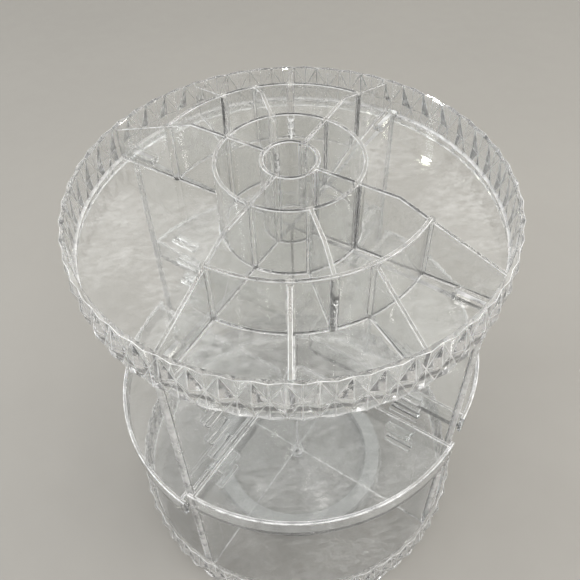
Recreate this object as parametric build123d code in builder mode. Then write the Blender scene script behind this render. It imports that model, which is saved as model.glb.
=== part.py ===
from build123d import *
from math import cos, radians, sin, sqrt
import os

# Clear round organizer on a ball-bearing turntable: a base tray with a diamond rim, four
# upright divider panels in a cross, four lift-in corner shelves and a top tray of compartments.
# Millimetres, +Z up, the origin on the turning axis where the rubber pads rest.

os.makedirs("parts", exist_ok=True)

# ---- overall ----
sector_angle = 90  # one shelf sector
front = -90  # azimuth of the front sector's middle

# ---- diamond rims ----
diamond_count = 52
diamond_step = 360 / diamond_count
rim_height = 28.0
rim_inner_radius = 115.0
diamond_turn = 1.3  # azimuth of the first diamond's middle
diamond_outline_radius = 117.0  # grooves between the diamonds
diamond_peak_radius = 119.3
rim_edge_radius = 118.1  # half diamonds, where the rim's edge cuts them

# ---- foot and ball bearing ----
pad_height = 1.6
pad_radius = 5.0
pad_circle_radius = 60.0
pad_count = 6
foot_radius = 69.0
foot_thickness = 2.2
foot_top = pad_height + foot_thickness
hub_radius = 9.0
hub_top = pad_height + 3.0
race_inner_radius = 56.0
race_outer_radius = 66.5
race_thickness = 2.0
ball_circle_radius = 59.3
ball_radius = 2.0
ball_count = 24
ball_clearance = 0.05
ball_height = 7.1
cage_inner_radius = 56.6
cage_outer_radius = 62.0
cage_thickness = 1.2
cage_pocket_radius = 2.1
race_screw_circle_radius = 63.9
race_screw_count = 4
race_screw_head_radius = 1.5
race_screw_head_height = 0.9
race_screw_radius = 0.8
race_screw_length = 3.6

# ---- base tray ----
base_rim_bottom = 7.0
base_bottom = base_rim_bottom + 3.0
base_floor_thickness = 2.8
base_floor_top = base_bottom + base_floor_thickness
boss_radius = 6.5
boss_bottom = 4.9

# ---- centre pivot ----
shoulder_radius = 2.5
shoulder_bore_radius = 2.56
screw_head_radius = 4.4
screw_head_bottom = 0.7
screw_head_top = 2.4
counterbore_radius = 5.6
counterbore_top = 3.0
washer_outer_radius = 5.0
washer_inner_radius = 2.6
washer_thickness = 0.5
thread_radius = 1.5
thread_top = 9.0
socket_width = 2.6
socket_depth = 0.8

# ---- top tray ----
rim_top = 283.0
tray_rim_bottom = rim_top - rim_height
tray_floor_top = rim_top - 21.0
tray_floor_thickness = 2.7
tray_floor_bottom = tray_floor_top - tray_floor_thickness
wall_top = rim_top + 21.5  # tall walls round the centre
wall_thickness = 2.2
slope_start_radius = 59.0  # inside this radius the walls are level, outside they slope to the rim
cup_outer_radius = 15.3
ring_outer_radius = 38.4
arc_outer_radius = 76.0
arc_top = rim_top + 15.5
wall_turn = 3.5  # the cross walls stand beside the panel sockets, not over them

# ---- divider panels ----
panel_thickness = 2.6
panel_radius = 114.5
panel_gap = 0.3  # under the tray floor
panel_top = tray_floor_bottom - panel_gap
bead_width = 4.6
bead_depth = 3.5
bead_corner = 1.2
tab_radius = 103.9
tab_length = 15.0
tab_above_floor = 2.4
tab_below = 1.4
tab_slot_clearance = 0.3
collar_height = 3.0
collar_wall = 1.7
collar_start_radius = tab_radius - tab_length / 2 - tab_slot_clearance - collar_wall

# ---- shelf supports on both faces of each panel ----
rib_levels = [105.0 + 19.2 * step for step in range(6)]
rib_radius = 82.3  # middle of the rib along the panel
rib_length = 18.5
rib_reach = 4.5  # from the panel's middle plane
rib_thickness = 2.0
rib_corner = 1.6

# ---- shelves ----
shelf_radius = 117.5
shelf_rests = {"left": 0, "front": 1, "right": 2, "back": 3}  # rib level under each shelf
shelf_floor_rise = 1.8  # floor underside above the rib's top
shelf_floor_thickness = 2.4
shelf_wall_height = 15.0
shelf_wall = 2.4
shelf_wall_gap = 5.2  # from the panel's middle plane to the side wall
shelf_corner = 8.0
lip_gap = 2.9  # from the panel's middle plane to the lip's end
clip_length = 17.0
clip_start = 2.1  # from the panel's middle plane
clip_above = 2.5
clip_below = 4.4
clip_corner = 3.0
clip_slot_above = 0.25
clip_slot_below = 2.5


def level_plane(azimuth, height):
    """Level plane on the turning axis, its X along the azimuth."""
    heading = (cos(radians(azimuth)), sin(radians(azimuth)), 0)
    return Plane(origin=(0, 0, height), x_dir=heading, z_dir=(0, 0, 1))


def upright_plane(azimuth):
    """Upright plane through the axis: X outward along the azimuth, Y up, normal clockwise."""
    heading = (cos(radians(azimuth)), sin(radians(azimuth)), 0)
    normal = (sin(radians(azimuth)), -cos(radians(azimuth)), 0)
    return Plane(origin=(0, 0, 0), x_dir=heading, z_dir=normal)


def at(radius, azimuth, height):
    """Point at a radius, azimuth and height."""
    return Vector(radius * cos(radians(azimuth)), radius * sin(radians(azimuth)), height)


def flat_face(*corners):
    """Flat face through the corners."""
    return Face(Wire.make_polygon(corners))


def diamond_rim(bottom):
    """Ring with one row of full-height outward pyramids and half pyramids between them."""
    middle = bottom + rim_height / 2
    top = bottom + rim_height
    faces = []
    low_outline = []
    high_outline = []
    low_hole = []
    high_hole = []
    for index in range(diamond_count):
        start = diamond_turn + index * diamond_step
        centre = start + diamond_step / 2
        low_edge = at(rim_edge_radius, centre, bottom)
        high_edge = at(rim_edge_radius, centre, top)
        meeting = at(diamond_outline_radius, centre, middle)
        for azimuth in (start, start + diamond_step):
            low = at(diamond_outline_radius, azimuth, bottom)
            peak = at(diamond_peak_radius, azimuth, middle)
            high = at(diamond_outline_radius, azimuth, top)
            faces.append(flat_face(low, low_edge, meeting))
            faces.append(flat_face(low, meeting, peak))
            faces.append(flat_face(peak, meeting, high))
            faces.append(flat_face(high, meeting, high_edge))
        low_outline += [at(diamond_outline_radius, start, bottom), low_edge]
        high_outline += [at(diamond_outline_radius, start, top), high_edge]
        low_hole.append(at(rim_inner_radius, centre, bottom))
        high_hole.append(at(rim_inner_radius, centre, top))
    for index in range(diamond_count):
        faces.append(flat_face(low_hole[index - 1], low_hole[index], high_hole[index], high_hole[index - 1]))
    faces.append(Face(Wire.make_polygon(low_outline), [Wire.make_polygon(low_hole)]))
    faces.append(Face(Wire.make_polygon(high_outline), [Wire.make_polygon(high_hole)]))
    return Solid(Shell(faces))


def floor_outline_sketch(mode=Mode.ADD):
    """Many-sided outline that meets the inner face of a diamond rim."""
    first_corner = diamond_turn + diamond_step / 2
    RegularPolygon(rim_inner_radius, diamond_count, rotation=first_corner, mode=mode)


def wedge(gap, mode=Mode.INTERSECT):
    """Right-angled corner about local +X, its sides the gap away from the panels' middle planes."""
    corner = gap * sqrt(2)
    reach = 2 * shelf_radius
    Polygon((corner, 0), (corner + reach, reach), (corner + reach, -reach), align=None, mode=mode)


def save(part, label):
    part.label = label
    export_step(part, f"parts/{label}.step")


# ---------------------------------------------------------------- foot and ball bearing

with BuildPart() as foot_pads:
    with PolarLocations(pad_circle_radius, pad_count):
        Cylinder(pad_radius, pad_height, align=(Align.CENTER, Align.CENTER, Align.MIN))
    fillet(foot_pads.edges().group_by(Axis.Z)[0], radius=0.5)
save(foot_pads.part, "foot_pads")

with BuildPart() as foot_disc:
    with BuildSketch(Plane.XY.offset(pad_height)):
        Circle(foot_radius)
    extrude(amount=foot_thickness)
    fillet(foot_disc.edges().group_by(Axis.Z)[-1], radius=0.8)
    with BuildSketch(Plane.XY.offset(pad_height)):
        Circle(hub_radius)
    extrude(amount=hub_top - pad_height)
    with BuildSketch(Plane.XY.offset(pad_height)):
        Circle(counterbore_radius)
    extrude(amount=counterbore_top - pad_height, mode=Mode.SUBTRACT)
    with BuildSketch(Plane.XY.offset(pad_height)):
        Circle(shoulder_bore_radius)
    extrude(amount=hub_top - pad_height, mode=Mode.SUBTRACT)
save(foot_disc.part, "foot_disc")


def race(bottom):
    """Flat bearing ring with the balls' groove cut from it."""
    with BuildPart() as ring:
        with BuildSketch(Plane.XY.offset(bottom)):
            Circle(race_outer_radius)
            Circle(race_inner_radius, mode=Mode.SUBTRACT)
        extrude(amount=race_thickness)
        with BuildSketch(Plane.XZ):
            with Locations((ball_circle_radius, ball_height)):
                Circle(ball_radius + ball_clearance)
        revolve(axis=Axis.Z, mode=Mode.SUBTRACT)
    return ring.part


lower_race = race(foot_top)
save(lower_race, "lower_race")

with BuildPart() as upper_race:
    add(race(base_bottom - race_thickness))
    with BuildSketch(Plane.XY.offset(base_bottom - race_thickness)):
        with PolarLocations(race_screw_circle_radius, race_screw_count, start_angle=45):
            Circle(race_screw_head_radius)
    extrude(amount=race_screw_head_height, mode=Mode.SUBTRACT)
    with BuildSketch(Plane.XY.offset(base_bottom - race_thickness)):
        with PolarLocations(race_screw_circle_radius, race_screw_count, start_angle=45):
            Circle(race_screw_radius)
    extrude(amount=race_thickness, mode=Mode.SUBTRACT)
save(upper_race.part, "upper_race")

with BuildPart() as race_screws:
    with BuildSketch(Plane.XY.offset(base_bottom - race_thickness)):
        with PolarLocations(race_screw_circle_radius, race_screw_count, start_angle=45):
            Circle(race_screw_head_radius)
    extrude(amount=race_screw_head_height)
    with BuildSketch(Plane.XY.offset(base_bottom - race_thickness)):
        with PolarLocations(race_screw_circle_radius, race_screw_count, start_angle=45):
            Circle(race_screw_radius)
    extrude(amount=race_screw_length)
save(race_screws.part, "race_screws")

with BuildPart(Plane.XY.offset(ball_height)) as bearing_balls:
    with PolarLocations(ball_circle_radius, ball_count):
        Sphere(ball_radius)
save(bearing_balls.part, "bearing_balls")

with BuildPart() as ball_cage:
    with BuildSketch(Plane.XY.offset(ball_height - cage_thickness / 2)):
        Circle(cage_outer_radius)
        Circle(cage_inner_radius, mode=Mode.SUBTRACT)
        with PolarLocations(ball_circle_radius, ball_count):
            Circle(cage_pocket_radius, mode=Mode.SUBTRACT)
    extrude(amount=cage_thickness)
save(ball_cage.part, "ball_cage")

# ---------------------------------------------------------------- centre pivot

with BuildPart() as pivot_screw:
    with BuildSketch(Plane.XY.offset(screw_head_bottom)):
        Circle(screw_head_radius)
    extrude(amount=screw_head_top - screw_head_bottom)
    fillet(pivot_screw.edges().group_by(Axis.Z)[0], radius=0.8)
    with BuildSketch(Plane.XY.offset(screw_head_bottom)):
        Rectangle(screw_head_radius, socket_width / 3)
        Rectangle(socket_width / 3, screw_head_radius)
    extrude(amount=socket_depth, mode=Mode.SUBTRACT)
    with BuildSketch(Plane.XY.offset(screw_head_top)):
        Circle(shoulder_radius)
    extrude(amount=boss_bottom - screw_head_top)
    with BuildSketch(Plane.XY.offset(boss_bottom)):
        Circle(thread_radius)
    extrude(amount=thread_top - boss_bottom)
save(pivot_screw.part, "pivot_screw")

with BuildPart() as pivot_washer:
    with BuildSketch(Plane.XY.offset(screw_head_top)):
        Circle(washer_outer_radius)
        Circle(washer_inner_radius, mode=Mode.SUBTRACT)
    extrude(amount=washer_thickness)
save(pivot_washer.part, "pivot_washer")

# ---------------------------------------------------------------- base tray

panel_azimuths = {
    "front_left": front - sector_angle / 2,
    "front_right": front + sector_angle / 2,
    "back_right": front + 3 * sector_angle / 2,
    "back_left": front + 5 * sector_angle / 2,
}

with BuildPart() as base_floor:
    with BuildSketch(Plane.XY.offset(base_bottom)):
        floor_outline_sketch()
    extrude(amount=base_floor_thickness)
    with BuildSketch(Plane.XY.offset(boss_bottom)):
        Circle(boss_radius)
    extrude(amount=base_bottom - boss_bottom)
    with BuildSketch(Plane.XY.offset(boss_bottom)):
        Circle(thread_radius)
    extrude(amount=thread_top - boss_bottom, mode=Mode.SUBTRACT)
    with BuildSketch(Plane.XY.offset(base_bottom)):
        with PolarLocations(race_screw_circle_radius, race_screw_count, start_angle=45):
            Circle(race_screw_radius)
    extrude(amount=race_screw_length - race_thickness, mode=Mode.SUBTRACT)
    with BuildSketch(Plane.XY.offset(base_floor_top - tab_below)):
        with PolarLocations(tab_radius, 4, start_angle=45):
            Rectangle(tab_length, panel_thickness)
    extrude(amount=tab_below, mode=Mode.SUBTRACT)
save(base_floor.part, "base_floor")

with BuildPart() as base_rim:
    add(diamond_rim(base_rim_bottom))
save(base_rim.part, "base_rim")

# ---------------------------------------------------------------- divider panels


def divider_panel(azimuth):
    """Upright plate with a mitred inner edge, a thick outer bead, tabs and shelf ribs."""
    half = panel_thickness / 2
    with BuildPart() as panel:
        with BuildSketch(level_plane(azimuth, base_floor_top)):
            corners = [(0, 0), (half, half), (panel_radius, half), (panel_radius, -half), (half, -half)]
            Polygon(*corners, align=None)
            with Locations((panel_radius - bead_depth / 2, 0)):
                RectangleRounded(bead_depth, bead_width, radius=bead_corner)
            Circle(panel_radius, mode=Mode.INTERSECT)
        extrude(amount=panel_top - base_floor_top)
        with BuildSketch(level_plane(azimuth, panel_top)):
            with Locations((tab_radius, 0)):
                Rectangle(tab_length, panel_thickness)
        extrude(amount=tray_floor_top + tab_above_floor - panel_top)
        with BuildSketch(level_plane(azimuth, base_floor_top)):
            with Locations((tab_radius, 0)):
                Rectangle(tab_length, panel_thickness)
        extrude(amount=-tab_below)
        with BuildSketch(*[level_plane(azimuth, level - rib_thickness) for level in rib_levels]):
            with Locations((rib_radius, 0)):
                RectangleRounded(rib_length, 2 * rib_reach, radius=rib_corner)
        extrude(amount=rib_thickness)
    return panel.part


for place, azimuth in panel_azimuths.items():
    save(divider_panel(azimuth), f"panel_{place}")

# ---------------------------------------------------------------- shelves


def shelf(azimuth, rest):
    """Walled corner shelf whose two side clips close over a pair of panel ribs."""
    floor_bottom = rest + shelf_floor_rise
    with BuildPart() as tray:
        with BuildSketch(level_plane(azimuth, floor_bottom)) as outline:
            Circle(shelf_radius)
            wedge(shelf_wall_gap)
            fillet(outline.vertices().sort_by(Axis.X)[0], radius=shelf_corner)
        extrude(amount=shelf_wall_height)
        with BuildSketch(level_plane(azimuth, floor_bottom + shelf_floor_thickness)) as hollow:
            Circle(shelf_radius - shelf_wall)
            wedge(shelf_wall_gap + shelf_wall)
            fillet(hollow.vertices().sort_by(Axis.X)[0], radius=shelf_corner - shelf_wall)
        extrude(amount=shelf_wall_height, mode=Mode.SUBTRACT)
        with BuildSketch(level_plane(azimuth, floor_bottom)):
            Circle(shelf_radius)
            Circle(shelf_radius - shelf_wall, mode=Mode.SUBTRACT)
            wedge(lip_gap)
        extrude(amount=shelf_wall_height)
        for turn in (-1, 1):
            side = upright_plane(azimuth + turn * sector_angle / 2)
            with BuildSketch(side.offset(turn * clip_start)) as clip:
                with Locations((rib_radius, rest + (clip_above - clip_below) / 2)):
                    Rectangle(clip_length, clip_above + clip_below)
                fillet(clip.vertices().group_by(Axis.Y)[0], radius=clip_corner)
            extrude(amount=turn * (shelf_wall_gap + shelf_wall - clip_start))
            with BuildSketch(side):
                with Locations((rib_radius, rest + (clip_slot_above - clip_slot_below) / 2)):
                    Rectangle(clip_length + 2, clip_slot_above + clip_slot_below)
            extrude(amount=turn * shelf_wall_gap, mode=Mode.SUBTRACT)
    return tray.part


shelf_azimuths = {
    "front": front,
    "right": front + sector_angle,
    "back": front + 2 * sector_angle,
    "left": front + 3 * sector_angle,
}

for place, azimuth in shelf_azimuths.items():
    save(shelf(azimuth, rib_levels[shelf_rests[place]]), f"shelf_{place}")

# ---------------------------------------------------------------- top tray

cross_azimuths = [azimuth + wall_turn for azimuth in panel_azimuths.values()]
front_wall_azimuth = front + wall_turn

with BuildPart() as tray_floor:
    with BuildSketch(Plane.XY.offset(tray_floor_bottom)):
        floor_outline_sketch()
        with PolarLocations(tab_radius, 4, start_angle=45):
            Rectangle(
                tab_length + 2 * tab_slot_clearance,
                panel_thickness + 2 * tab_slot_clearance,
                mode=Mode.SUBTRACT,
            )
    extrude(amount=tray_floor_thickness)
save(tray_floor.part, "tray_floor")

with BuildPart() as tray_rim:
    add(diamond_rim(tray_rim_bottom))
save(tray_rim.part, "tray_rim")

with BuildPart() as tray_sockets:
    with BuildSketch(Plane.XY.offset(tray_floor_top)):
        with PolarLocations(rim_inner_radius, 4, start_angle=45):
            RectangleRounded(
                2 * (rim_inner_radius - collar_start_radius),
                panel_thickness + 2 * tab_slot_clearance + 2 * collar_wall,
                radius=collar_wall,
            )
        floor_outline_sketch(Mode.INTERSECT)
        with PolarLocations(tab_radius, 4, start_angle=45):
            Rectangle(
                tab_length + 2 * tab_slot_clearance,
                panel_thickness + 2 * tab_slot_clearance,
                mode=Mode.SUBTRACT,
            )
    extrude(amount=collar_height)
save(tray_sockets.part, "tray_sockets")


def round_wall(outer_radius, top):
    """Round wall standing on the tray floor."""
    with BuildPart() as wall:
        with BuildSketch(Plane.XY.offset(tray_floor_top)):
            Circle(outer_radius)
            Circle(outer_radius - wall_thickness, mode=Mode.SUBTRACT)
        extrude(amount=top - tray_floor_top)
    return wall.part


save(round_wall(cup_outer_radius, wall_top), "tray_cup")
save(round_wall(ring_outer_radius, wall_top), "tray_ring")

with BuildPart() as tray_spokes:
    for azimuth in cross_azimuths:
        with BuildSketch(level_plane(azimuth, tray_floor_top)):
            with Locations((ring_outer_radius / 2, 0)):
                Rectangle(ring_outer_radius, wall_thickness)
            Circle(ring_outer_radius - wall_thickness, mode=Mode.INTERSECT)
            Circle(cup_outer_radius, mode=Mode.SUBTRACT)
        extrude(amount=wall_top - tray_floor_top)
save(tray_spokes.part, "tray_spokes")


def radial_walls(azimuths, inner_radius, outer_radius):
    """Walls on the azimuths: level near the centre, then sloping down to the rim's top."""
    profile = [
        (0, tray_floor_top),
        (rim_inner_radius, tray_floor_top),
        (rim_inner_radius, rim_top),
        (slope_start_radius, wall_top),
        (0, wall_top),
    ]
    with BuildPart() as walls:
        with BuildSketch(*[upright_plane(azimuth) for azimuth in azimuths]):
            Polygon(*profile, align=None)
        extrude(amount=wall_thickness / 2, both=True)
        with BuildSketch(Plane.XY.offset(tray_floor_top)):
            if outer_radius:
                Circle(outer_radius)
            else:
                floor_outline_sketch()
            Circle(inner_radius, mode=Mode.SUBTRACT)
        extrude(amount=wall_top - tray_floor_top, mode=Mode.INTERSECT)
    return walls.part


front_and_back = (0, 180)
middle_azimuths = [front_wall_azimuth + turn for turn in front_and_back]
outer_azimuths = [front_wall_azimuth + turn + side for turn in front_and_back for side in (-15, 15)]

save(radial_walls(cross_azimuths, ring_outer_radius, None), "tray_cross_walls")
save(
    radial_walls(middle_azimuths, ring_outer_radius, arc_outer_radius - wall_thickness),
    "tray_middle_walls",
)
save(radial_walls(outer_azimuths, arc_outer_radius, None), "tray_outer_walls")

for place, turn in (("front", 0), ("back", 180)):
    with BuildPart() as arc_wall:
        with BuildSketch(level_plane(front_wall_azimuth + turn, tray_floor_top)):
            Circle(arc_outer_radius)
            Circle(arc_outer_radius - wall_thickness, mode=Mode.SUBTRACT)
            wedge(wall_thickness / 2)
        extrude(amount=arc_top - tray_floor_top)
    save(arc_wall.part, f"tray_{place}_arc")
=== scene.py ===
from math import asin, cos, degrees, hypot, pi, radians, sin, sqrt

import bmesh
import bpy
from mathutils import Matrix, Vector


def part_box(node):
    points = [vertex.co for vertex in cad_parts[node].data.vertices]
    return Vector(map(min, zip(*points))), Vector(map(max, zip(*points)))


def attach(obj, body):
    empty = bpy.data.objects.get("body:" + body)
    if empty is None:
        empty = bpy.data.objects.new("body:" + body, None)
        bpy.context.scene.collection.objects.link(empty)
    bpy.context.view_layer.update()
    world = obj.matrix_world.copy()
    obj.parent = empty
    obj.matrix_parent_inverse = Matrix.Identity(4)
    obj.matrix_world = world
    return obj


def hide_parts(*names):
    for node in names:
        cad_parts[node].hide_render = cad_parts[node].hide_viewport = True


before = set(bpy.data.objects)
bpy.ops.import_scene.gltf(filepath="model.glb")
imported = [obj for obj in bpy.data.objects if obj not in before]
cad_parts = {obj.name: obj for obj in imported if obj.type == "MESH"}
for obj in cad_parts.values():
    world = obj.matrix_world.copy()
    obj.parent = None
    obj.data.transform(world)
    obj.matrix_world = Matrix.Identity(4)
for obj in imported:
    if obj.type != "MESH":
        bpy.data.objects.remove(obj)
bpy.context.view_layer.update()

scene = bpy.context.scene

# Shapes are written in millimetres in the CAD frame and scaled to metres when they are made.
# Azimuths are in degrees from +X, and the front is at -90.
MM = 0.001


def low(node):
    """Lowest corner of a CAD node's box."""
    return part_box(node)[0] / MM


def high(node):
    """Highest corner of a CAD node's box."""
    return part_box(node)[1] / MM


# ---------------------------------------------------------------- sizes, from the frame

# Rims with diamonds
rim_top = high("tray_rim").z
rim_height = rim_top - low("tray_rim").z
base_rim_bottom = low("base_rim").z
base_rim_top = high("base_rim").z
rim_reaches = [
    hypot(corner.co.x, corner.co.y) / MM
    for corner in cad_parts["tray_rim"].data.vertices
]
rim_inner_radius = min(rim_reaches) - 0.2  # a little thicker than the CAD rim
peak_radius = max(rim_reaches)
groove_radius = peak_radius - 2.4
edge_radius = peak_radius - 1.4  # half diamonds, where the rim's edge cuts them
diamond_zone = groove_radius - 0.8  # beyond this radius a face belongs to the diamonds
diamonds = 52
diamond_step = 360 / diamonds
diamond_turn = 1.3  # azimuth of a whole diamond's middle

# Floors
tray_floor_top = high("tray_floor").z
tray_floor_bottom = low("tray_floor").z
race_thickness = 2.0
base_floor_top = high("base_floor").z
base_floor_bottom = low("upper_race").z + race_thickness
race_gap = 0.05  # between the base floor and the bearing ring under it
boss_bottom = low("base_floor").z

# Walls of the top tray
wall = 2.2
wall_top = high("tray_cup").z
arc_top = high("tray_front_arc").z
cup_radius = high("tray_cup").x
ring_radius = high("tray_ring").x
arc_radius = ring_radius + 37.6
slope_start = 59.0  # the radial walls are level inside this radius
slope_end = rim_inner_radius - 3
wall_fall = (wall_top - rim_top) / (slope_end - slope_start)
wall_turn = 3.5  # the walls stand beside the panels' sockets
outer_spread = 15
cross_azimuths = [-135 + wall_turn + 90 * turn for turn in range(4)]
middle_azimuths = [side + wall_turn for side in (-90, 90)]
outer_azimuths = [
    azimuth + turn
    for azimuth in middle_azimuths
    for turn in (-outer_spread, outer_spread)
]

# Panels and their ribs
panel_azimuths = {"front_left": -135, "front_right": -45, "back_right": 45, "back_left": 135}
panel_half = 1.3  # half the thickness
panel_radius = 114.5
panel_top = tray_floor_bottom - 0.3
tab_radius = 103.9
tab_length = 15.0
rib_tops = [105.0 + 19.2 * step for step in range(6)]
rib_thickness = 2.0
rib_radius = 82.3
rib_length = 18.5
rib_width = 9.0
rib_corner = 1.6

# Shelves and their clips, which hook over the ribs
shelf_azimuths = {"front": -90, "right": 0, "back": 90, "left": 180}
shelf_radius = 117.5
shelf_wall = 2.4
shelf_floor_rise = 1.8  # the floor's underside above the ribs' tops
shelf_floor_thickness = 2.4
shelf_corner = 8.0
side_gap = 5.2  # from the panel's middle plane to the side wall
lip_gap = 2.9  # from the panel's middle plane to the lip's end
clip_start = 2.1  # from the panel's middle plane
clip_length = 17.0
clip_height = 13.8  # before its top is cut level
clip_corner = 3.0
clip_below = 4.4  # below the ribs' tops
clip_above = 2.5

# Finish of the meshes
fine = 208  # segments of a large circle
rounding_width = 0.55  # faces narrower than this round off an edge
through = 3  # how far a cutter reaches past the floor that it cuts
root = 1.0  # how far a wall or a post reaches into the floor or rim that it joins

# ---------------------------------------------------------------- mesh tools


def at(radius, azimuth, height=0.0):
    """Point at a radius, azimuth in degrees and height."""
    return (radius * cos(radians(azimuth)), radius * sin(radians(azimuth)), height)


def outward(work):
    """Faces turned outward, in a closed mesh."""
    bmesh.ops.recalc_face_normals(work, faces=work.faces)
    return work


def loft(sections, closed=False):
    """Closed mesh through sections of equal point counts, capped unless it runs in a ring."""
    work = bmesh.new()
    rows = [[work.verts.new(point) for point in section] for section in sections]
    spans = len(rows) if closed else len(rows) - 1
    count = len(rows[0])
    for index in range(spans):
        here = rows[index]
        there = rows[(index + 1) % len(rows)]
        for side in range(count):
            after = (side + 1) % count
            work.faces.new((here[side], here[after], there[after], there[side]))
    if not closed:
        work.faces.new(rows[0])
        work.faces.new(rows[-1])
    return outward(work)


def prism(outline, bottom, top):
    """Upright prism of a plan outline."""
    return loft([[(x, y, bottom) for x, y in outline], [(x, y, top) for x, y in outline]])


def lathe(profile, segments=fine):
    """Ring or disc turned from (radius, height) points. A radius of 0 closes on the axis."""
    sections = []
    for index in range(segments):
        azimuth = 360 * index / segments
        sections.append([at(radius, azimuth, height) for radius, height in profile])
    work = loft(sections, closed=True)
    bmesh.ops.remove_doubles(work, verts=work.verts, dist=1e-5)
    bmesh.ops.dissolve_degenerate(work, edges=work.edges, dist=1e-5)
    return outward(work)


def arc_points(centre, radius, start, sweep, steps):
    """Points along an arc in a plane, from a start angle and through a sweep in degrees."""
    angles = [radians(start + sweep * index / steps) for index in range(steps + 1)]
    return [(centre[0] + radius * cos(angle), centre[1] + radius * sin(angle)) for angle in angles]


def disc(radius, segments=fine, centre=(0, 0)):
    """Plan outline of a circle."""
    step = 2 * pi / segments
    return [
        (centre[0] + radius * cos(step * index), centre[1] + radius * sin(step * index))
        for index in range(segments)
    ]


def turned(outline, azimuth, shift=(0, 0)):
    """Plan outline shifted, then turned about the axis."""
    c = cos(radians(azimuth))
    s = sin(radians(azimuth))
    shifted = [(x + shift[0], y + shift[1]) for x, y in outline]
    return [(x * c - y * s, x * s + y * c) for x, y in shifted]


def rounded_rectangle(length, width, corner, segments=6):
    """Outline about the origin with rounded corners."""
    points = []
    for side_x, side_y, start in ((1, 1, 0), (-1, 1, 90), (-1, -1, 180), (1, -1, 270)):
        centre = (side_x * (length / 2 - corner), side_y * (width / 2 - corner))
        points += arc_points(centre, corner, start, 90, segments)
    return points


def merged(*works):
    """Several meshes that don't touch, as one."""
    whole = bmesh.new()
    for work in works:
        scratch = bpy.data.meshes.new("scratch")
        work.to_mesh(scratch)
        whole.from_mesh(scratch)
        bpy.data.meshes.remove(scratch)
        work.free()
    return whole


def carved(work, cutter, operation="DIFFERENCE"):
    """The first mesh with the second cut away, added or kept in common."""
    objects = []
    for shape in (work, cutter):
        mesh = bpy.data.meshes.new("scratch")
        shape.to_mesh(mesh)
        shape.free()
        thing = bpy.data.objects.new("scratch", mesh)
        scene.collection.objects.link(thing)
        objects.append(thing)
    body, tool = objects
    boolean = body.modifiers.new("boolean", "BOOLEAN")
    boolean.operation = operation
    boolean.object = tool
    boolean.solver = "MANIFOLD"
    evaluated = body.evaluated_get(bpy.context.evaluated_depsgraph_get())
    result = bmesh.new()
    result.from_mesh(evaluated.to_mesh())
    for thing in objects:
        mesh = thing.data
        bpy.data.objects.remove(thing)
        bpy.data.meshes.remove(mesh)
    return result


def united(*works):
    """Meshes that overlap, as one solid."""
    whole = works[0]
    for work in works[1:]:
        whole = carved(whole, work, "UNION")
    return whole


def is_edge(face, floors, level_width):
    """True for the narrow faces that round off an edge, and for level faces up to a width.

    A level face at one of the floors' heights is never an edge.
    """
    level = abs(face.normal.z) > 0.95
    height = face.calc_center_median().z
    if level and any(abs(height - floor) < 0.1 for floor in floors):
        return False
    width = face.calc_area() / max(edge.calc_length() for edge in face.edges)
    return width < rounding_width or (level and width < level_width)


def piece(name, work, body, materials, replaced, floors=(), level_width=0):
    """Object of a mesh made in millimetres, smooth but for its sharp edges, riding on a body.

    Its materials are a set made by clear_set.
    """
    weld = 0.002
    bmesh.ops.remove_doubles(work, verts=work.verts, dist=weld)
    bmesh.ops.dissolve_degenerate(work, edges=work.edges, dist=weld)
    work.normal_update()
    for face in work.faces:
        face.smooth = True
        if is_edge(face, floors, level_width):
            face.material_index = 1
        if hypot(*face.calc_center_median()[:2]) > diamond_zone:
            face.material_index += 2
    bmesh.ops.scale(work, vec=(MM, MM, MM), verts=work.verts)
    mesh = bpy.data.meshes.new(name)
    work.to_mesh(mesh)
    work.free()
    mesh.set_sharp_from_angle(angle=radians(32))
    thing = bpy.data.objects.new(name, mesh)
    scene.collection.objects.link(thing)
    for material in materials:
        mesh.materials.append(material)
    weighted = thing.modifiers.new("weighted", "WEIGHTED_NORMAL")
    weighted.keep_sharp = True
    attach(thing, body)
    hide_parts(*replaced)
    return thing


# ---------------------------------------------------------------- materials


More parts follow.
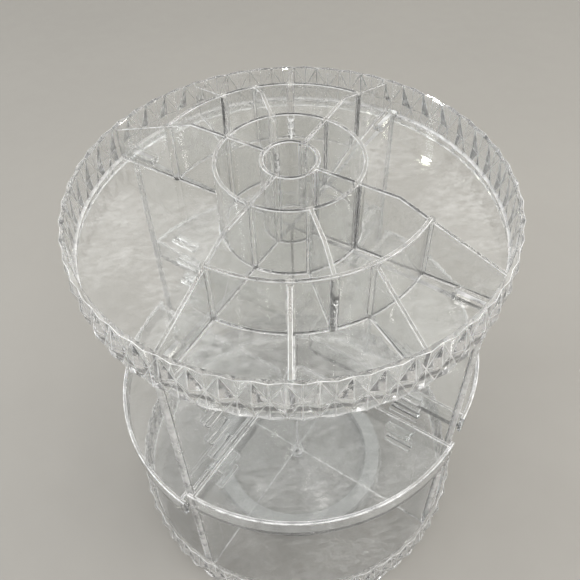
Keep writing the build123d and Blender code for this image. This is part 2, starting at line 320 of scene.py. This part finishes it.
class Nodes:
    """Short way to build a material's nodes."""

    def __init__(self, name):
        self.material = bpy.data.materials.new(name)
        self.material.use_nodes = True
        self.tree = self.material.node_tree
        self.shader = self.tree.nodes["Principled BSDF"]
        self.output = self.tree.nodes["Material Output"]
        self.coordinates = self.tree.nodes.new("ShaderNodeTexCoord").outputs["Object"]

    def new(self, kind, **inputs):
        """Node of a kind, with its inputs set or linked."""
        node = self.tree.nodes.new("ShaderNode" + kind)
        for name, value in inputs.items():
            self.put(node, name.replace("_", " "), value)
        return node

    def put(self, node, name, value):
        """Sets a node's input to a value, or links it to a socket."""
        if isinstance(value, bpy.types.NodeSocket):
            self.tree.links.new(value, node.inputs[name])
        else:
            node.inputs[name].default_value = value

    def noise(self, scale, detail=4.0, roughness=0.55, stretch=(1, 1, 1), distortion=0.0):
        """Noise in object space, with its scale in cycles for each metre."""
        place = self.new("Mapping", Vector=self.coordinates, Scale=stretch)
        texture = self.new("TexNoise", Vector=place.outputs[0], Scale=scale, Detail=detail)
        self.put(texture, "Roughness", roughness)
        self.put(texture, "Distortion", distortion)
        return texture.outputs["Fac"]

    def ramp(self, value, start, end, first, last):
        """A value from start to end mapped to the range from first to last."""
        node = self.new("MapRange", Value=value)
        names = ("From Min", "From Max", "To Min", "To Max")
        for name, number in zip(names, (start, end, first, last)):
            node.inputs[name].default_value = number
        return node.outputs[0]

    def mix(self, share, first, second):
        """Mix of two colours, each a colour or a socket."""
        return self.new("MixRGB", Fac=share, Color1=first, Color2=second).outputs[0]

    def math(self, operation, first, second):
        """Sum, difference or product of two values, each a number or a socket."""
        node = self.tree.nodes.new("ShaderNodeMath")
        node.operation = operation
        self.put(node, 0, first)
        self.put(node, 1, second)
        return node.outputs[0]

    def bump(self, height, strength, distance):
        """Relief on the whole surface, from a height."""
        node = self.new("Bump", Height=height, Strength=strength, Distance=distance)
        self.put(self.shader, "Normal", node.outputs[0])


def clear_plastic(name, tint, haze, dust, scratches, smear, ripple, frost=0.0, passed=0.9):
    """Moulded clear plastic: haze, fine dust, hair scratches, wiped smears, frost and a faint ripple.

    The film on it lies in patches. A lamp's light passes it by the share passed.
    """
    kit = Nodes(name)
    shader = kit.shader
    shader.inputs["Base Color"].default_value = (*tint, 1)
    shader.inputs["IOR"].default_value = 1.49
    patches = kit.noise(28, detail=5, roughness=0.6)
    clouds = kit.noise(150, detail=8, roughness=0.75, stretch=(1, 2.2, 1), distortion=0.5)
    specks = kit.noise(1500, detail=2, roughness=0.5)
    hairs = kit.noise(240, detail=3, stretch=(1, 12, 1), distortion=0.6)
    kit.put(shader, "Roughness", kit.ramp(patches, 0.35, 0.75, haze * 0.3, haze))
    settled = kit.ramp(patches, 0.38, 0.66, 0.2, 1.0)
    grains = kit.ramp(specks, 0.60, 0.74, 0.0, dust)
    marks = kit.ramp(hairs, 0.58, 0.74, 0.0, scratches)
    smears = kit.ramp(clouds, 0.44, 0.70, 0.0, smear)
    veil = kit.math("MULTIPLY", kit.math("ADD", kit.math("ADD", grains, marks), smears), settled)
    frosting = kit.ramp(kit.noise(130, detail=2), 0.36, 0.64, frost * 0.25, frost)
    film = kit.math("ADD", veil, kit.math("ADD", frosting, haze * 0.1))
    kit.put(shader, "Transmission Weight", kit.math("SUBTRACT", 1.0, film))
    kit.bump(kit.noise(90, detail=2, stretch=(1, 1, 0.15)), ripple, 0.0004)
    clear_to_lamps(kit, passed)
    return kit.material


def clear_to_lamps(kit, passed):
    """Light from the lamps passes the plastic, so that what is behind it is lit."""
    shadow_ray = kit.tree.nodes.new("ShaderNodeLightPath").outputs["Is Shadow Ray"]
    clear = kit.new("BsdfTransparent", Color=(passed, passed, passed, 1))
    mix = kit.tree.nodes.new("ShaderNodeMixShader")
    kit.put(mix, 0, shadow_ray)
    kit.put(mix, 1, kit.shader.outputs[0])
    kit.put(mix, 2, clear.outputs[0])
    kit.put(kit.output, "Surface", mix.outputs[0])


def clear_set(name, tint, haze, dust, scratches, smear, ripple, frost):
    """Four plastics of one moulding: flat faces, frosted rounded edges, diamonds and their creases."""
    marks = {"dust": dust, "scratches": scratches}
    narrow = {
        "tint": (0.99, 0.995, 1.0),
        "haze": 0.42,
        "smear": smear,
        "ripple": ripple,
        "passed": 0.75,
    }
    facets = {
        "tint": (0.98, 0.99, 1.0),
        "haze": haze,
        "smear": 0,
        "ripple": ripple * 0.5,
        "frost": 0.13,
        "passed": 0.84,
    }
    return [
        clear_plastic(name, tint, haze, smear=smear, ripple=ripple, **marks),
        clear_plastic(name + "_edge", frost=frost, **narrow, **marks),
        clear_plastic(name + "_facet", **facets, **marks),
        clear_plastic(name + "_crease", frost=0.75, **narrow, **marks),
    ]


def dull_plastic(name, colour, rough, grain):
    """Frosted, natural or rubbery plastic with a fine moulded grain."""
    kit = Nodes(name)
    darker = [channel * 0.9 for channel in colour]
    shade = kit.mix(kit.noise(60, detail=4), (*colour, 1), (*darker, 1))
    kit.put(kit.shader, "Base Color", shade)
    kit.put(kit.shader, "Roughness", kit.ramp(kit.noise(300), 0.3, 0.7, rough - 0.08, rough + 0.08))
    kit.bump(kit.noise(2600, detail=2), grain, 0.0001)
    return kit.material


def metal(name, colour, rough):
    """Polished or plated steel with fine turning marks."""
    kit = Nodes(name)
    kit.shader.inputs["Metallic"].default_value = 1.0
    darker = [channel * 0.82 for channel in colour]
    shade = kit.mix(kit.noise(400, detail=3), (*colour, 1), (*darker, 1))
    kit.put(kit.shader, "Base Color", shade)
    kit.put(kit.shader, "Roughness", kit.ramp(kit.noise(900), 0.3, 0.7, rough * 0.6, rough * 1.4))
    kit.bump(kit.noise(1800, detail=2), 0.06, 0.0001)
    return kit.material


tray_plastic = clear_set(
    "tray_plastic",
    tint=(0.915, 0.92, 0.91),
    haze=0.08, dust=0.28, scratches=0.26, smear=0.26, ripple=0.2, frost=0.5,
)
base_plastic = clear_set(
    "base_plastic",
    tint=(0.93, 0.935, 0.93),
    haze=0.16, dust=0.2, scratches=0.2, smear=0.14, ripple=0.14, frost=0.6,
)
panel_plastic = clear_set(
    "panel_plastic",
    tint=(0.975, 0.982, 0.978),
    haze=0.05, dust=0.14, scratches=0.14, smear=0.06, ripple=0.08, frost=0.6,
)
shelf_plastic = clear_set(
    "shelf_plastic",
    tint=(0.94, 0.948, 0.943),
    haze=0.08, dust=0.22, scratches=0.22, smear=0.14, ripple=0.12, frost=0.5,
)
foot_plastic = clear_plastic(
    "foot_plastic",
    tint=(0.955, 0.962, 0.96),
    haze=0.12, dust=0.25, scratches=0.2, smear=0.2, ripple=0.06,
)
frosted = dull_plastic("frosted_plastic", (0.46, 0.47, 0.465), rough=0.5, grain=0.15)
natural = dull_plastic("natural_plastic", (0.86, 0.86, 0.83), rough=0.45, grain=0.1)
rubber = dull_plastic("soft_rubber", (0.62, 0.64, 0.63), rough=0.7, grain=0.2)
ball_steel = metal("ball_steel", (0.78, 0.79, 0.8), rough=0.12)
screw_steel = metal("screw_steel", (0.68, 0.69, 0.7), rough=0.3)

# ---------------------------------------------------------------- shapes that the two trays share


def faceted_drum(bottom, top):
    """Solid drum whose side is a row of raised diamonds with half diamonds between them."""
    middle = (bottom + top) / 2
    work = bmesh.new()
    low_row = []
    middle_row = []
    high_row = []
    count = 2 * diamonds
    for index in range(count):
        azimuth = diamond_turn + index * diamond_step / 2
        whole_diamond = index % 2 == 0
        edge = groove_radius if whole_diamond else edge_radius
        waist = peak_radius if whole_diamond else groove_radius
        low_row.append(work.verts.new(at(edge, azimuth, bottom)))
        middle_row.append(work.verts.new(at(waist, azimuth, middle)))
        high_row.append(work.verts.new(at(edge, azimuth, top)))
    for index in range(count):
        after = (index + 1) % count
        for row in (low_row, high_row):
            if index % 2 == 0:  # the groove runs from this edge point to the next waist point
                work.faces.new((row[index], row[after], middle_row[after]))
                work.faces.new((row[index], middle_row[after], middle_row[index]))
            else:
                work.faces.new((row[index], row[after], middle_row[index]))
                work.faces.new((row[after], middle_row[after], middle_row[index]))
    work.faces.new(low_row)
    work.faces.new(high_row)
    outward(work)
    creases = [edge for edge in work.edges if edge.calc_face_angle(0) > radians(4)]
    bmesh.ops.bevel(work, geom=creases, offset=0.3, segments=2, affect="EDGES", profile=0.5)
    return outward(work)


def hollowed(drum, bottom, floor_bottom, floor_top, top):
    """Drum hollowed above and below its floor, with a cove where the wall meets the floor."""
    cove = 1.6
    lip = 0.5  # bevel inside the rim's top edge
    lip_lean = 0.1
    under_cove = 0.8
    past = 5  # the cutters reach past the drum's ends
    above = [(0, floor_top)]
    above += arc_points((rim_inner_radius - cove, floor_top + cove), cove, -90, 90, 5)
    above += [(rim_inner_radius + lip_lean, top - lip), (rim_inner_radius + lip, top)]
    above += [(rim_inner_radius + lip, top + past), (0, top + past)]
    below = [(0, bottom - past), (rim_inner_radius, bottom - past)]
    below += [(rim_inner_radius, floor_bottom - under_cove), (rim_inner_radius - under_cove, floor_bottom)]
    below += [(0, floor_bottom)]
    return carved(carved(drum, lathe(above)), lathe(below))


# ---------------------------------------------------------------- top tray


def wall_section(half, bottom, top, rounding=0.4, flare=0.6):
    """Cross-section of a wall as (offset, height) points: rounded top, small cove at its foot."""
    buried = 1.2
    points = [(half + flare, bottom - buried), (half + flare, bottom)]
    points += [(half + flare * 0.3, bottom + flare * 0.3), (half, bottom + flare)]
    points += arc_points((half - rounding, top - rounding), rounding, 0, 90, 4)
    return points + [(-offset, height) for offset, height in reversed(points)]


def round_wall(outer_radius, top, segments=fine):
    """Round wall standing on the top tray's floor."""
    middle = outer_radius - wall / 2
    section = wall_section(wall / 2, tray_floor_top, top)
    return lathe([(middle + offset, height) for offset, height in section], segments)


def arc_wall(outer_radius, top, start, end, segments=72):
    """Part of a round wall between two azimuths."""
    middle = outer_radius - wall / 2
    section = wall_section(wall / 2, tray_floor_top, top)
    rows = []
    for index in range(segments + 1):
        azimuth = start + (end - start) * index / segments
        rows.append([at(middle + offset, azimuth, height) for offset, height in section])
    return loft(rows)


def straight_wall(azimuth, inner_radius, outer_radius):
    """Radial wall: level near the centre, then sloping down to the rim."""
    stations = [inner_radius]
    if inner_radius < slope_start < outer_radius:
        stations.append(slope_start)
    stations.append(outer_radius)
    rows = []
    for radius in stations:
        top = wall_top - wall_fall * max(0.0, radius - slope_start)
        section = wall_section(wall / 2, tray_floor_top, top)
        rows.append([(*turned([(radius, offset)], azimuth)[0], height) for offset, height in section])
    return loft(rows)


def tray_walls():
    """Round walls, arcs and radial walls, as three meshes."""
    cup_middle = cup_radius - wall / 2
    ring_middle = ring_radius - wall / 2
    arc_middle = arc_radius - wall / 2
    reach = rim_inner_radius + root
    rounds = merged(round_wall(cup_radius, wall_top, 120), round_wall(ring_radius, wall_top))
    arcs = merged(
        arc_wall(arc_radius, arc_top, cross_azimuths[0], cross_azimuths[1]),
        arc_wall(arc_radius, arc_top, cross_azimuths[2], cross_azimuths[3]),
    )
    radials = [straight_wall(azimuth, cup_middle, reach) for azimuth in cross_azimuths]
    radials += [straight_wall(azimuth, ring_middle, arc_middle) for azimuth in middle_azimuths]
    radials += [straight_wall(azimuth, arc_middle, reach) for azimuth in outer_azimuths]
    return rounds, arcs, merged(*radials)


def join_posts():
    """Thick round posts where the walls meet, ending just below the walls' tops."""
    post_radius = wall / 2 + 1.4
    below_top = 0.6
    joins = [(cup_radius, azimuth, wall_top) for azimuth in cross_azimuths]
    joins += [(ring_radius, azimuth, wall_top) for azimuth in cross_azimuths + middle_azimuths]
    joins += [
        (arc_radius, azimuth, arc_top)
        for azimuth in cross_azimuths + middle_azimuths + outer_azimuths
    ]
    posts = []
    for radius, azimuth, top in joins:
        centre = at(radius - wall / 2, azimuth)[:2]
        posts.append(prism(disc(post_radius, 18, centre), tray_floor_top - root, top - below_top))
    return merged(*posts)


def socket_collars():
    """Low collars round the panels' slots, each ending in the rim's wall."""
    collar_width = 6.6
    collar_corner = 1.7
    collar_height = 3
    collar_length = 2 * (rim_inner_radius - tab_radius + tab_length / 2 + 2)  # half of it is cut away
    collars = []
    for azimuth in panel_azimuths.values():
        collar = rounded_rectangle(collar_length, collar_width, collar_corner)
        outline = turned(collar, azimuth, (rim_inner_radius, 0))
        collars.append(prism(outline, tray_floor_top - root, tray_floor_top + collar_height))
    inside = prism(disc(rim_inner_radius + 0.8), tray_floor_top - 2 * root, tray_floor_top + 10)
    return carved(merged(*collars), inside, "INTERSECT")


def tab_slots(clearance, corner, bottom, top):
    """Cutters for the panels' tabs."""
    slot = rounded_rectangle(tab_length + clearance, 2 * panel_half + clearance, corner, 2)
    slots = [
        prism(turned(slot, azimuth, (tab_radius, 0)), bottom, top)
        for azimuth in panel_azimuths.values()
    ]
    return merged(*slots)


def top_tray():
    """One clear moulding: rim, floor, cup, ring, radial walls, arcs and the panels' sockets."""
    drum = faceted_drum(rim_top - rim_height, rim_top)
    shell = hollowed(drum, rim_top - rim_height, tray_floor_bottom, tray_floor_top, rim_top)
    whole = united(shell, *tray_walls(), join_posts())
    whole = united(whole, socket_collars())
    whole = carved(whole, tab_slots(0.6, 0.3, tray_floor_bottom - through, tray_floor_top + 2 * through))
    nodes = [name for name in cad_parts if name.startswith("tray_")]
    floors = (tray_floor_top, tray_floor_bottom)
    return piece("top_tray", whole, "top_tray", tray_plastic, nodes, floors)


# ---------------------------------------------------------------- base tray


def pivot_boss():
    """Boss under the base floor that takes the pivot screw, flared where it meets the floor."""
    bore = 1.55
    outer = 6.5
    bevel = 0.4
    flare_start = base_floor_bottom - 0.4
    flare_end = base_floor_bottom + 0.6
    flare_radius = 7.2
    profile = [(bore, boss_bottom), (outer - bevel, boss_bottom), (outer, boss_bottom + bevel)]
    profile += [(outer, flare_start), (flare_radius, flare_end), (bore, flare_end)]
    return lathe(profile, 64)


def base_tray():
    """One clear moulding: rim, floor, the pivot's boss and the blind slots for the panels."""
    floor_bottom = base_floor_bottom + race_gap
    slot_depth = 1.45
    drum = faceted_drum(base_rim_bottom, base_rim_top)
    shell = hollowed(drum, base_rim_bottom, floor_bottom, base_floor_top, base_rim_top)
    whole = united(shell, pivot_boss())
    whole = carved(whole, tab_slots(0.2, 0.2, base_floor_top - slot_depth, base_floor_top + 4))
    nodes = ["base_floor", "base_rim"]
    floors = (base_floor_top, floor_bottom)
    return piece("base_tray", whole, "turret", base_plastic, nodes, floors)


# ---------------------------------------------------------------- panels


def panel_plate(azimuth):
    """Plate of a panel, with a bead along its outer edge and a bevelled inner edge."""
    bead_start = panel_radius - 4.1
    bead_shoulder = panel_radius - 3.3
    bead_depth = 1.9
    bead_half = 2.3
    bevel = 0.12
    upper = [(0.15, 0), (panel_half, panel_half - bevel), (bead_start, panel_half), (bead_shoulder, 1.6)]
    bead = arc_points((0, 0), 1, 90, -180, 14)
    outline = upper + [(panel_radius - bead_depth + bead_depth * x, bead_half * y) for x, y in bead]
    outline += [(x, -y) for x, y in reversed(upper[1:])]
    return prism(turned(outline, azimuth), base_floor_top + 0.05, panel_top)


def panel_tabs(azimuth):
    """Tabs at both ends of a panel, as one bar through it."""
    tab = rounded_rectangle(tab_length, 2 * panel_half, 0.4, 3)
    tab_bottom = base_floor_top - 1.35
    tab_top = tray_floor_top + 2.4
    return prism(turned(tab, azimuth, (tab_radius, 0)), tab_bottom, tab_top)


def panel_ribs(azimuth):
    """Rounded ribs that cross a panel and stand out of both faces."""
    ribs = []
    for top in rib_tops:
        rib = rounded_rectangle(rib_length, rib_width, rib_corner, 5)
        shape = prism(turned(rib, azimuth, (rib_radius, 0)), top - rib_thickness, top)
        level_edges = [edge for edge in shape.edges if abs(edge.verts[0].co.z - edge.verts[1].co.z) < 1e-6]
        bmesh.ops.bevel(shape, geom=level_edges, offset=0.45, segments=3, affect="EDGES", profile=0.5)
        ribs.append(outward(shape))
    return merged(*ribs)


def panel(place, azimuth):
    """Upright plate with a thick rounded outer edge, shelf ribs on both faces and end tabs."""
    node = f"panel_{place}"
    whole = united(panel_plate(azimuth), panel_tabs(azimuth), panel_ribs(azimuth))
    rib_faces = [height for top in rib_tops for height in (top, top - rib_thickness)]
    edge_width = 2 * panel_half + 0.25
    name = node + "_clear"
    return piece(name, whole, "turret", panel_plastic, [node], rib_faces, edge_width)


# ---------------------------------------------------------------- shelves


def sector_reach(gap, radius):
    """Azimuth, from the sector's middle, at which a radius comes to a gap from the panel."""
    return 45 - degrees(asin(gap / radius))


def sector_path(gap, radius, corner):
    """Open plan path about local +X: along one side, round the inner corner, out the other side."""
    reach = sector_reach(gap, radius)
    inner = arc_points(((gap + corner) * sqrt(2), 0), corner, 135, 90, 12)
    return [at(radius, reach)[:2], *inner, at(radius, -reach)[:2]]


def sector_outline(gap, radius, corner, arc_steps=48):
    """Closed plan outline of a corner shelf."""
    reach = sector_reach(gap, radius)
    arc = [at(radius, -reach + 2 * reach * index / arc_steps)[:2] for index in range(1, arc_steps)]
    return sector_path(gap, radius, corner) + arc


def shelf_sides(azimuth, bottom, top):
    """Side walls of a shelf with rounded tops, as one band round its inner corner."""
    radius = shelf_radius - 1.2
    section = wall_section(shelf_wall / 2, bottom, top, 0.7, 0.0)
    inner = sector_path(side_gap + shelf_wall, radius, shelf_corner - shelf_wall)
    outer = sector_path(side_gap, radius, shelf_corner)
    rows = []
    for near, far in zip(outer, inner):
        row = []
        for offset, height in section:
            share = offset / shelf_wall + 0.5
            plan = (near[0] + (far[0] - near[0]) * share, near[1] + (far[1] - near[1]) * share)
            row.append((*turned([plan], azimuth)[0], height))
        rows.append(row)
    return loft(rows)


def shelf_lip(azimuth, bottom, top):
    """Curved front wall of a shelf, with all four edges rounded."""
    rounding = 0.7
    steps = 80
    reach = sector_reach(lip_gap, shelf_radius)
    near = shelf_radius - shelf_wall + rounding
    far = shelf_radius - rounding
    section = []
    for start, centre in (
        (0, (far, top - rounding)),
        (90, (near, top - rounding)),
        (180, (near, bottom + rounding)),
        (270, (far, bottom + rounding)),
    ):
        section += arc_points(centre, rounding, start, 90, 3)
    turns = [azimuth - reach + 2 * reach * index / steps for index in range(steps + 1)]
    return loft([[at(radius, turn, height) for radius, height in section] for turn in turns])


def shelf_clip(along, side, rest):
    """Hooked plate beside a panel's ribs, from the side wall towards the panel."""
    face = rounded_rectangle(clip_length, clip_height, clip_corner)
    middle = rest - clip_below + clip_height / 2
    rows = []
    for depth in (clip_start, side_gap + shelf_wall - 0.3):
        row = []
        for across, up in face:
            plan = turned([(rib_radius + across, side * depth)], along)[0]
            row.append((*plan, min(middle + up, rest + clip_above)))
        rows.append(row)
    return loft(rows)


def rib_space(along, side, rest):
    """Cutter that leaves room for a rib inside a clip."""
    half = 12
    near = rib_radius - half
    far = rib_radius + half
    outline = [(near, 0), (far, 0), (far, side * side_gap), (near, side * side_gap)]
    return prism(turned(outline, along), rest - 2.5, rest + 0.25)


def shelf(place, azimuth):
    """Corner shelf: floor, rounded side walls, curved front lip and two hooked clips."""
    node = f"shelf_{place}"
    rest = low(node).z + clip_below  # the ribs' tops, which it rests on
    floor_bottom = rest + shelf_floor_rise
    floor_top = floor_bottom + shelf_floor_thickness
    top = high(node).z
    inset = 0.4  # the floor ends inside the walls
    outline = sector_outline(side_gap + inset, shelf_radius - 1.0, shelf_corner - inset)
    floor = prism(turned(outline, azimuth), floor_bottom, floor_top)
    sides = shelf_sides(azimuth, floor_bottom + 1.2, top)
    lip = shelf_lip(azimuth, floor_bottom, top)
    ends = [(azimuth - 45, 1), (azimuth + 45, -1)]
    clips = merged(*[shelf_clip(along, side, rest) for along, side in ends])
    gaps = merged(*[rib_space(along, side, rest) for along, side in ends])
    whole = carved(united(floor, sides, lip, clips), gaps)
    return piece(node + "_clear", whole, f"{place}_shelf", shelf_plastic, [node])


top_tray()
base_tray()
for place, azimuth in panel_azimuths.items():
    panel(place, azimuth)
for place, azimuth in shelf_azimuths.items():
    shelf(place, azimuth)

# ---------------------------------------------------------------- turntable, carried over from the CAD

finishes = {
    "foot_disc": foot_plastic,
    "foot_pads": rubber,
    "lower_race": frosted,
    "upper_race": frosted,
    "ball_cage": natural,
    "pivot_washer": natural,
    "bearing_balls": ball_steel,
    "race_screws": screw_steel,
    "pivot_screw": screw_steel,
}
for node, material in finishes.items():
    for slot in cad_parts[node].material_slots:
        slot.material = material

# ---------------------------------------------------------------- floor, light and camera, in metres


def studio_floor():
    """Pale round floor that curves up into a darker wall far around the object."""
    flat = 2.6
    bend = 1.8
    segments = 96
    pale = (0.325, 0.313, 0.29, 1)
    pale_dim = (0.285, 0.275, 0.255, 1)
    wall_grey = (0.07, 0.068, 0.064, 1)
    wall_start = 0.02
    wall_end = 0.6
    profile = [(0.4 * flat, 0.0), (flat, 0.0)]
    profile += [(flat + bend * sin(radians(a)), bend * (1 - cos(radians(a)))) for a in range(6, 91, 6)]
    work = bmesh.new()
    rows = [
        [work.verts.new(at(radius, 360 * turn / segments, height)) for radius, height in profile]
        for turn in range(segments)
    ]
    for turn, row in enumerate(rows):
        after = rows[(turn + 1) % segments]
        for index in range(len(profile) - 1):
            work.faces.new((row[index], row[index + 1], after[index + 1], after[index]))
    work.faces.new([row[0] for row in rows])
    for face in work.faces:
        face.smooth = True
    mesh = bpy.data.meshes.new("studio_floor")
    work.to_mesh(mesh)
    work.free()
    kit = Nodes("pale_floor")
    floor_colour = kit.mix(kit.noise(3, detail=3), pale_dim, pale)
    rise = kit.new("SeparateXYZ", Vector=kit.coordinates).outputs["Z"]
    colour = kit.mix(kit.ramp(rise, wall_start, wall_end, 0.0, 1.0), floor_colour, wall_grey)
    kit.put(kit.shader, "Base Color", colour)
    kit.put(kit.shader, "Roughness", kit.ramp(kit.noise(40), 0.3, 0.7, 0.6, 0.75))
    mesh.materials.append(kit.material)
    thing = bpy.data.objects.new("studio_floor", mesh)
    scene.collection.objects.link(thing)


def towards(azimuth, elevation):
    """Unit vector at an azimuth and an elevation in degrees."""
    return Vector(at(1, azimuth)) * cos(radians(elevation)) + Vector((0, 0, sin(radians(elevation))))


def soft_box(name, azimuth, elevation, distance, size, watts, colour):
    """Rectangular lamp that faces the middle of the object."""
    lamp = bpy.data.lights.new(name, "AREA")
    lamp.shape = "RECTANGLE"
    lamp.size, lamp.size_y = size
    lamp.energy = watts
    lamp.color = colour
    thing = bpy.data.objects.new(name, lamp)
    scene.collection.objects.link(thing)
    middle = Vector((0, 0, rim_top * MM / 2))
    thing.location = middle + towards(azimuth, elevation) * distance
    thing.rotation_mode = "QUATERNION"
    thing.rotation_quaternion = (middle - thing.location).to_track_quat("-Z", "Y")


def camera():
    """Camera in front of the object and above it, looking down at the top tray and the shelves."""
    azimuth = -100.55
    elevation = 41.22
    distance = 365.7 * MM  # from the middle of the top rim
    aim_azimuth = 79.83
    aim_elevation = -49.16
    roll = -1.70
    data = bpy.data.cameras.new("camera")
    data.sensor_width = 36
    data.lens = 43.7
    data.clip_start = 0.01
    thing = bpy.data.objects.new("camera", data)
    scene.collection.objects.link(thing)
    thing.location = Vector((0, 0, rim_top * MM)) + towards(azimuth, elevation) * distance
    thing.rotation_mode = "QUATERNION"
    level = towards(aim_azimuth, aim_elevation).to_track_quat("-Z", "Y")
    thing.rotation_quaternion = level @ Matrix.Rotation(radians(roll), 3, "Z").to_quaternion()
    scene.camera = thing


def surroundings():
    """Room light: dark at the horizon, bright above it and softer overhead, in wide patches."""
    # The plastic bends these lights and darks, which is what makes its edges and facets read.
    shades = ((0.0, 0.08), (0.1, 0.14), (0.2, 0.95), (0.45, 1.3), (0.62, 0.75), (0.8, 0.7), (1.0, 1.0))
    patch_scale = 2.2
    patch_range = {"From Min": 0.35, "From Max": 0.65, "To Min": 0.15, "To Max": 1.6}
    world = bpy.data.worlds.new("room")
    scene.world = world
    world.use_nodes = True
    tree = world.node_tree
    background = tree.nodes["Background"]
    coordinates = tree.nodes.new("ShaderNodeTexCoord").outputs["Generated"]
    split = tree.nodes.new("ShaderNodeSeparateXYZ")
    ramp = tree.nodes.new("ShaderNodeValToRGB")
    tree.links.new(coordinates, split.inputs[0])
    tree.links.new(split.outputs["Z"], ramp.inputs["Fac"])
    tree.links.new(ramp.outputs["Color"], background.inputs["Color"])
    patches = tree.nodes.new("ShaderNodeTexNoise")
    patches.inputs["Scale"].default_value = patch_scale
    patches.inputs["Detail"].default_value = 1.0
    tree.links.new(coordinates, patches.inputs["Vector"])
    strength = tree.nodes.new("ShaderNodeMapRange")
    for name, number in patch_range.items():
        strength.inputs[name].default_value = number
    tree.links.new(patches.outputs["Fac"], strength.inputs["Value"])
    tree.links.new(strength.outputs[0], background.inputs["Strength"])
    stops = ramp.color_ramp.elements
    while len(stops) < len(shades):
        stops.new(0.5)
    for stop, (height, shade) in zip(stops, shades):
        stop.position = height
        stop.color = (shade, shade * 0.99, shade * 0.97, 1)


studio_floor()
soft_box("key_light", -35, 62, 1.7, (0.3, 0.3), 7, (1.0, 0.97, 0.93))
soft_box("left_strip", 172, 30, 1.5, (0.12, 1.0), 9, (0.95, 0.975, 1.0))
soft_box("right_strip", -4, 26, 1.5, (0.10, 1.0), 7, (1.0, 0.97, 0.94))
soft_box("back_light", 62.6, 36.6, 1.6, (0.02, 0.2), 0.9, (0.98, 1.0, 0.84))
for index in range(7):
    soft_box(f"lamp_{index + 1}", 125 + 45 * index, 52, 1.6, (0.07, 0.07), 1.5, (1.0, 0.985, 0.96))
camera()
surroundings()

scene.view_settings.view_transform = "Standard"

cycles = scene.cycles
cycles.max_bounces = 96  # light is caught for long inside the clear plates
cycles.transmission_bounces = 96
cycles.transparent_max_bounces = 48
cycles.glossy_bounces = 8
cycles.caustics_reflective = False
cycles.caustics_refractive = False
